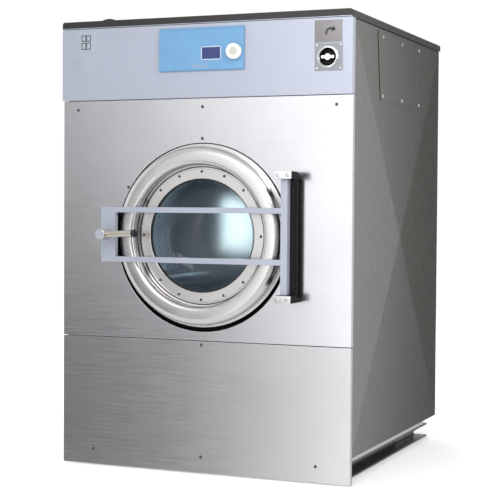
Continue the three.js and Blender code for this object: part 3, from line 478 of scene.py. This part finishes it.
def turn_lock():
    """Plate with a bright round dish, its dark lining and the grip across it."""
    refine("lock_plate", "plate_steel", 0.6)
    dish = [(34, -15.4), (33.8, -17.6), (31.5, -19), (28.5, -19), (27.2, -17.2), (24, 0), (6.5, 0), (6.5, 3),
            (29.5, 3), (29.5, -15.4)]
    lining = [(7, -0.5), (23.2, -0.5), (25.4, -12), (25.1, -12), (22.9, -0.2), (7, -0.2)]
    stand_for("lock_dish", revolve(dish, LOCK, 72), "polished_steel", "lock_cup")
    finish_piece("lock_dish_lining", revolve(lining, LOCK, 72), "black_paint", "cabinet")
    refine("lock_grip", "polished_steel", 1.2)
    corners = [(x, -15, z) for x in (395, 471.5) for z in (1297.5, 1368.5)]
    screws("lock_screws", corners, 4.6, 2.2, FORWARD, "zinc", "cabinet")


LABEL_DEPTHS = (UPPER_FACE - 0.35, UPPER_FACE + 0.2)
INK_DEPTHS = (UPPER_FACE - 0.6, UPPER_FACE - 0.3)


def flat_box(low, high, depths):
    """Corners of a box between two (x, z) corners and two depths."""
    return (low[0], depths[0], low[1]), (high[0], depths[1], high[1])


def labels():
    """Plain diagram labels without lettering."""
    compartments = flat_box((-472, 1304), (-378, 1446), LABEL_DEPTHS)
    boxes("compartment_label", [compartments], "label_grey", "cabinet", 0.1)
    square_width = 17
    line_width = 2.4
    squares = []
    for low, high in ((1386, 1409), (1413, 1433)):
        for left in (-437, -419):
            squares += bars_round((left, low), (left + square_width, high), line_width, INK_DEPTHS)
    boxes("compartment_squares", squares, "label_ink", "cabinet", 0.05)
    dash_length = 14
    dash_height = 2
    dashes = [flat_box((x, z), (x + dash_length, z + dash_height), INK_DEPTHS)
              for z in (1344, 1358) for x in range(-462, -374, 22)]
    dashes.append(flat_box((-456, 1376), (-394, 1377.6), INK_DEPTHS))
    boxes("compartment_marks", dashes, "faint_ink", "cabinet", 0.05)
    turning = flat_box((386, 1378), (477, 1446), LABEL_DEPTHS)
    boxes("turn_label", [turning], "label_taupe", "cabinet", 0.1)
    turn_arrow()


def turn_arrow():
    """Curved arrow on the label above the turn-lock."""
    front_depth, back_depth = INK_DEPTHS
    thickness = back_depth - front_depth
    mesh_data = bmesh.new()
    outer = arc(438, 1406, 17, 200, 60, 14)
    inner = arc(438, 1406, 11, 60, 200, 14)
    head = [(449, 1428), (455, 1414), (438, 1411)]
    for outline in (outer + inner, head):
        face = mesh_data.faces.new([mesh_data.verts.new(at(x, front_depth, z)) for x, z in outline])
        grown = bmesh.ops.extrude_face_region(mesh_data, geom=[face])
        moved = [item for item in grown["geom"] if isinstance(item, bmesh.types.BMVert)]
        bmesh.ops.translate(mesh_data, verts=moved, vec=REARWARD * thickness / MM)
    finish_piece("turn_arrow", mesh_data, "label_ink", "cabinet")


# ---- Top ------------------------------------------------------------------------------------------
def detergent_box():
    refine("hopper", "grey_plastic", 0.8)
    refine("hopper_lid", "cover_paint", 1.6)
    refine("hopper_hose", "black_rubber", 0.2)
    pin_depth = 240
    pin_z = 1486
    pin_radius = 3
    mesh_data = bmesh.new()
    for start, end in ((-470, -430), (-340, -300)):
        middle = at((start + end) / 2, pin_depth, pin_z)
        matrix = Matrix.Translation(middle) @ Matrix.Rotation(math.pi / 2, 4, "Y")
        bmesh.ops.create_cone(
            mesh_data, cap_ends=True, segments=24, radius1=pin_radius / MM, radius2=pin_radius / MM,
            depth=(end - start) / MM, matrix=matrix)
    finish_piece("lid_hinge_pins", mesh_data, "zinc", "cabinet")


# ---- Door hinge -----------------------------------------------------------------------------------
def hinge():
    strap_face = -90.4
    for place in ("upper", "lower"):
        refine(f"hinge_block_{place}", "black_paint", 1.4)
        refine(f"hinge_strap_{place}", "polished_steel", 1.0)
        low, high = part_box(f"hinge_strap_{place}")
        middle = (low[2] + high[2]) / 2 * MM
        bolts = [(x, strap_face, middle) for x in (297.3, 328.6)]
        screws(f"hinge_screws_{place}", bolts, 6.8, 3, FORWARD, "zinc", "cabinet")
    hinge_tube()
    refine("door_arm", "grey_paint", 1.2)
    refine("latch_housing", "black_paint", 1.2)


def hinge_tube():
    """Upright tube with a chamfer and a narrower neck at each end."""
    low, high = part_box("hinge_column")
    half = (high[2] - low[2]) / 2 * MM
    lower_end = [(0, -half), (8, -half), (8, -half + 17), (18.6, -half + 17), (20, -half + 18.6)]
    upper_end = [(radius, -height) for radius, height in reversed(lower_end)]
    mesh_data = bmesh.new()
    rings = [add_ring(mesh_data, at(*HINGE_AXIS, DOOR_Z + height), radius, RIGHTWARD, REARWARD, 64)
             for radius, height in lower_end + upper_end]
    skin(mesh_data, rings)
    stand_for("hinge_tube", mesh_data, "black_paint", "hinge_column")


# ---- Door -----------------------------------------------------------------------------------------
def door():
    """Pressed ring with its clamp ring, gasket, bolts and glass."""
    front = [(296, 4), (296, 1.5), (288, 1.5), *arc(264, -17, 24, 0, -90, 14),
             *arc(241.5, -28, 14, -90, -180, 12), (227.5, 1), (186, 1)]
    back = [(186, 4), (230.5, 4), *arc(241.5, -28, 11, -180, -90, 12),
            *arc(264, -17, 21, -90, 0, 14), (285, 4)]
    clamp = [(184.8, -3), (215.2, -3), (216, -2.2), (216, 0.6), (184, 0.6), (184, -2.2)]
    gasket = [(183, 4.4), (204, 4.4), (204, 9.4), (183, 9.4)]
    edge = [(180.6, 0), (183.8, -2.4), (183.8, 9), (180.6, 9)]
    bead = arc(222, -0.6, 1.6, 0, 330, 11)
    stand_for("door_dish", revolve(front + back, DOOR_CENTRE, 160), "door_steel", "door_ring")
    stand_for("door_clamp", revolve(clamp, DOOR_CENTRE, 160), "door_steel", "door_clamp_ring")
    stand_for("glass_gasket", revolve(gasket, DOOR_CENTRE, 128), "black_rubber", "window_gasket")
    finish_piece("window_edge", revolve(edge, DOOR_CENTRE, 128), "black_rubber", "door")
    finish_piece("groove_bead", revolve(bead, DOOR_CENTRE, 128), "black_rubber", "door")
    bolt_count = 16
    bolt_circle = 207
    turns = [2 * math.pi * step / bolt_count for step in range(bolt_count)]
    bolts = [(bolt_circle * math.sin(turn), -3, DOOR_Z + bolt_circle * math.cos(turn)) for turn in turns]
    screws("door_screws", bolts, 4.6, 2.2, FORWARD, "dark_steel", "door")
    glass()


BOWL_FRONT = 10
BOWL_STEPS = 22
BOWL_POWERS = (0.62, 0.9)  # of the radius and the depth; with 1 and 1 the bowl would be an ellipse


def bowl(radius, drop):
    """Points of a bowl from just inside its rim to the bottom, as (radius, depth)."""
    side, bottom = BOWL_POWERS
    points = []
    for step in range(1, BOWL_STEPS):
        angle = math.pi / 2 * step / BOWL_STEPS
        points.append((radius * math.cos(angle) ** side, BOWL_FRONT + drop * math.sin(angle) ** bottom))
    return points + [(0, BOWL_FRONT + drop)]


def glass():
    """Deep bowl of even thickness with a flat rim."""
    rim = [(198, BOWL_FRONT), (198, BOWL_FRONT + 6), (180, BOWL_FRONT + 6)]
    profile = [*rim, *bowl(176, 88), *reversed(bowl(170, 82)), (174, BOWL_FRONT)]
    stand_for("glass_bowl", revolve(profile, DOOR_CENTRE, 128), "door_glass", "door_glass", sharp=60)


# ---- Lever ----------------------------------------------------------------------------------------
def lever():
    hub = [(0, -12), (8, -12), (8, -75.8), (15, -75.8), (15, -83.8), (18, -86.8), (18, -130.6),
           *arc(15.6, -130.6, 2.4, 0, -90, 6)[1:], (0, -133)]
    disc = [(0, -133.8), (14.6, -133.8), (15.4, -133.2), (15.4, -132.6), (0, -132.6)]
    rod = [(10.5, 17), (10.5, 105.6)]
    plug = [(11.2, 106), (12, 107.4), (12, 117), (10.6, 119)]
    stand_for("lever_barrel", revolve(hub, LEVER, 64), "nickel", "lever_hub")
    finish_piece("lever_front_disc", revolve(disc, LEVER, 64), "grey_paint", "lever")
    stand_for("lever_rod", tilted_rod(rod), "nickel", "lever_bar")
    stand_for("lever_end", tilted_rod(plug), "black_rubber", "lever_plug")


def tilted_rod(profile):
    """Round bar out of the hub. The profile is a list of (radius, distance along the lever)."""
    mesh_data = bmesh.new()
    origin = at(LEVER[0], LEVER_DEPTH, LEVER[1])
    along = Vector((math.cos(LEVER_TILT), 0, math.sin(LEVER_TILT)))
    across = along.cross(REARWARD)
    rings = [add_ring(mesh_data, origin + along * distance / MM, radius, REARWARD, across, 48)
             for radius, distance in profile]
    skin(mesh_data, rings)
    mesh_data.faces.new(rings[0])
    mesh_data.faces.new(rings[-1])
    return mesh_data


# ---- Inside ---------------------------------------------------------------------------------------
def inside():
    tub_and_drum()
    perforations()
    for node in ("drum_spider", "bearing_housing", "drum_pulley", "motor_pulley", "motor"):
        refine(node, "cast_iron", 0.6)
    for node in ("bearing_front", "bearing_rear"):
        refine(node, "polished_steel", 0.5)
    for node in ("drive_belt", "drain_flap"):
        refine(node, "black_rubber", 0.4)
    refine("motor_mount", "dark_steel", 0.8)
    refine("heater", "zinc", 0.1)


def tub_and_drum():
    """What surrounds the mouth, then the outer tub and the drum that spins in it."""
    surround = [(315, 2.4), (315, 5), (306, 24), (237, 46), (237, 43), (303, 22), (309, 2.4)]
    seal = [(209, 7.4), (212, 4.4), (226, 4.4), (233, 11), (233, 30), (229.4, 30), (229.4, 11.4),
            (225.6, 11.4), (225.6, 30), (219, 30)]
    tub = [(226, 12), (229, 12), (229, 63), (430, 63), (430, 703), (60, 703), (60, 700), (427, 700),
           (427, 66), (226, 66)]
    drum = [(236, 97), (236, 88), (392, 88), (392, 652), (40, 652), (40, 649), (390, 649), (390, 90),
            (238, 90), (238, 97)]
    hub_cover = [(0, 640), (52, 642), (60, 648.6), (0, 648.6)]
    # A collar lies here. Its black is painted shade for the dark gap round the door.
    stand_for("opening_surround", revolve(surround, (0, 770), 128), "black_paint", "door_surround")
    stand_for("mouth_seal", revolve(seal, DOOR_CENTRE), "black_rubber", "door_seal")
    stand_for("outer_tub", revolve(tub, DOOR_CENTRE), "stainless", "tub")
    # The drum, its hub cover and its lifters use the darkened steel, which is painted shade inside the drum.
    stand_for("drum_shell", revolve(drum, DOOR_CENTRE, 128), "shaded_drum_steel", "drum")
    finish_piece("drum_hub_cover", revolve(hub_cover, DOOR_CENTRE, 64), "shaded_drum_steel", "drum")
    for index in range(3):
        refine(f"drum_lifter_{index + 1}", "shaded_drum_steel", 1.2)


def perforations():
    """Rows of holes in the drum wall, as shallow dark dimples on its inner face."""
    wall_radius = 389.6
    rows = 22
    columns = 110
    first_row = 112
    pitch = 24
    hole_radius = 3.4
    hole_depth = 0.3
    mesh_data = bmesh.new()
    for row in range(rows):
        depth = first_row + row * pitch
        for column in range(columns):
            angle = 2 * math.pi * (column + 0.5 * (row % 2)) / columns
            outward = Vector((math.cos(angle), 0, math.sin(angle)))
            along = Vector((-math.sin(angle), 0, math.cos(angle)))
            centre = at(wall_radius * math.cos(angle), depth, DOOR_Z + wall_radius * math.sin(angle))
            ring = add_ring(mesh_data, centre, hole_radius, along, REARWARD, 6)
            deep = mesh_data.verts.new(centre + outward * hole_depth / MM)
            skin(mesh_data, [ring, [deep]])
            mesh_data.faces.new(list(reversed(ring)))
    finish_piece("drum_perforations", mesh_data, "perforation", "drum")


# ---- Camera, light and floor ----------------------------------------------------------------------
CAMERA_PLACE = (1856.5, -4056.5, 871.3)
CAMERA_TURNS = (22.59, 1.83, 0.37)
CAMERA_LENS = 99.53


def photo_camera():
    """Camera of the main view. Yaw turns it to the left, pitch tips it down and roll lifts its right side."""
    yaw, pitch, roll = (math.radians(turn) for turn in CAMERA_TURNS)
    forward = Vector((-math.sin(yaw) * math.cos(pitch), math.cos(yaw) * math.cos(pitch), -math.sin(pitch)))
    level = Vector((math.cos(yaw), math.sin(yaw), 0))
    upright = level.cross(forward)
    right = level * math.cos(roll) + upright * math.sin(roll)
    up = upright * math.cos(roll) - level * math.sin(roll)
    data = bpy.data.cameras.new("camera")
    data.lens = CAMERA_LENS
    data.sensor_width = 36
    data.clip_end = 60
    camera = bpy.data.objects.new("camera", data)
    turn = Matrix((right, up, -forward)).transposed().to_4x4()
    camera.matrix_world = Matrix.Translation(at(*CAMERA_PLACE)) @ turn
    bpy.context.scene.collection.objects.link(camera)
    bpy.context.scene.camera = camera


def area_light(name, place, aim, size, power, colour=(1, 1, 1)):
    """Light that the camera doesn't see. Its place, aim and size are metres in the row frame."""
    data = bpy.data.lights.new(name, "AREA")
    data.shape = "RECTANGLE"
    data.size, data.size_y = size
    data.energy = power
    data.color = colour
    light = bpy.data.objects.new(name, data)
    light.visible_camera = False
    light.location = place
    light.rotation_euler = (Vector(aim) - Vector(place)).to_track_quat("-Z", "Y").to_euler()
    bpy.context.scene.collection.objects.link(light)


# Brightness of the surroundings by how far to the right they lie, from -1 on the left to 1 on the right.
# The front has a dark band on the left and grows dark to the right. The rear has a dark band on the right.
# The low front lies below the horizon.
FRONT_LEVELS = [(-1, 0.6), (-0.75, 0.6), (-0.6, 0.2), (-0.5, 0.22), (-0.42, 0.72), (-0.33, 1.15), (0.05, 0.9),
                (0.35, 0.25), (0.7, 0.07), (1, 0.1)]
LOW_FRONT_LEVELS = [(-1, 0.55), (-0.75, 0.5), (-0.58, 0.04), (-0.42, 0.02), (-0.355, 0.3), (-0.29, 1.5),
                    (-0.05, 0.4), (0.35, 0.15), (1, 0.05)]
REAR_LEVELS = [(-1, 0.62), (0.05, 0.6), (0.14, 0.1), (0.245, 0.02), (0.275, 0.12), (0.3, 0.42), (0.34, 0.68),
               (0.5, 0.6), (0.75, 0.3), (1, 0.2)]
TOP_LEVEL = 0.5
GROUND_LEVEL = 0.55
WORLD_STRENGTH = 1.65


def levels(tree, value, stops):
    """Colour ramp over a direction from -1 to 1."""
    shift = tree.nodes.new("ShaderNodeMapRange")
    shift.inputs["From Min"].default_value = -1
    tree.links.new(value, shift.inputs["Value"])
    ramp = tree.nodes.new("ShaderNodeValToRGB")
    ramp.color_ramp.interpolation = "EASE"
    while len(ramp.color_ramp.elements) < len(stops):
        ramp.color_ramp.elements.new(1)
    for element, (place, _) in zip(ramp.color_ramp.elements, stops):
        element.position = (place + 1) / 2
    for element, (_, level) in zip(ramp.color_ramp.elements, stops):
        element.color = (level, level, level, 1)
    tree.links.new(shift.outputs["Result"], ramp.inputs["Fac"])
    return ramp.outputs["Color"]


def blended(tree, value, low, high, first, second):
    """Goes from one colour to another while a value goes from low to high."""
    share = tree.nodes.new("ShaderNodeMapRange")
    share.inputs["From Min"].default_value = low
    share.inputs["From Max"].default_value = high
    tree.links.new(value, share.inputs["Value"])
    mix = tree.nodes.new("ShaderNodeMixRGB")
    tree.links.new(share.outputs["Result"], mix.inputs["Fac"])
    tree.links.new(first, mix.inputs["Color1"])
    tree.links.new(second, mix.inputs["Color2"])
    return mix.outputs["Color"]


def grey(tree, level):
    node = tree.nodes.new("ShaderNodeRGB")
    node.outputs[0].default_value = (level, level, level, 1)
    return node.outputs[0]


def surroundings():
    """Studio that is brighter or darker by direction: front, low front and rear, then even ground and top."""
    world = bpy.data.worlds.new("studio")
    world.use_nodes = True
    tree = world.node_tree
    place = tree.nodes.new("ShaderNodeTexCoord")
    split = tree.nodes.new("ShaderNodeSeparateXYZ")
    tree.links.new(place.outputs["Generated"], split.inputs["Vector"])
    front = levels(tree, split.outputs["X"], FRONT_LEVELS)
    low_front = levels(tree, split.outputs["X"], LOW_FRONT_LEVELS)
    front = blended(tree, split.outputs["Z"], -0.1, 0.06, low_front, front)
    rear = levels(tree, split.outputs["X"], REAR_LEVELS)
    around = blended(tree, split.outputs["Y"], -0.25, 0.0, front, rear)
    around = blended(tree, split.outputs["Z"], -0.36, -0.22, grey(tree, GROUND_LEVEL), around)
    colour = blended(tree, split.outputs["Z"], 0.35, 0.8, around, grey(tree, TOP_LEVEL))
    tree.links.new(colour, tree.nodes["Background"].inputs["Color"])
    tree.nodes["Background"].inputs["Strength"].default_value = WORLD_STRENGTH
    bpy.context.scene.world = world


def studio():
    bpy.context.scene.view_settings.view_transform = "Standard"
    surroundings()
    area_light("key_light", (1.0, -4.2, 3.4), (0.1, 0, 0.8), (2.4, 1.8), 55)
    area_light("side_light", (1.25, -1.1, 1.1), (0.5, -0.1, 0.8), (0.4, 1.6), 5, (1, 0.99, 0.93))
    area_light("drum_light", at(-185, 540, 800), at(-125, 649, 795), (0.14, 0.2), 0.62, (0.86, 1, 0.9))
    area_light("drum_glow", at(150, 160, 900), at(-340, 560, 800), (0.3, 0.3), 0.5, (0.82, 0.87, 1))
    area_light("upper_light", at(760, -620, 1560), at(430, 0, 1340), (0.3, 0.5), 2.6)
    area_light("rear_fill", (-2.5, 4.0, 3.0), (0, 0, 0.8), (3, 3), 60)
    floor()
    backdrop()


def stage_piece(name, mesh_data, colour, emission):
    """Matt piece of the studio that glows white and doesn't show in reflections."""
    mesh = bpy.data.meshes.new(name)
    mesh_data.to_mesh(mesh)
    mesh_data.free()
    material, _, shader = new_material(name, colour, 0.7)
    shader.inputs["Emission Color"].default_value = (1, 1, 1, 1)
    shader.inputs["Emission Strength"].default_value = emission
    mesh.materials.append(material)
    piece = bpy.data.objects.new(name, mesh)
    bpy.context.scene.collection.objects.link(piece)
    piece.visible_glossy = False
    return piece


STUDIO_RADIUS = 30  # metres


def floor():
    mesh_data = bmesh.new()
    bmesh.ops.create_circle(mesh_data, cap_ends=True, segments=64, radius=STUDIO_RADIUS)
    stage_piece("floor", mesh_data, (0.9, 0.9, 0.9), 0.3)


def backdrop():
    """White wall all round that is hidden from glossy and diffuse rays and casts no shadow."""
    mesh_data = bmesh.new()
    bmesh.ops.create_cone(
        mesh_data, segments=64, radius1=STUDIO_RADIUS, radius2=STUDIO_RADIUS, depth=STUDIO_RADIUS)
    wall = stage_piece("backdrop", mesh_data, (0, 0, 0), 1.0)
    wall.visible_diffuse = False
    wall.visible_shadow = False


photo_camera()
studio()
cabinet()
front_screws()
access_screws()
floor_anchors()
rear()
controls()
knob()
turn_lock()
labels()
detergent_box()
hinge()
door()
lever()
inside()

bpy.context.view_layer.update()
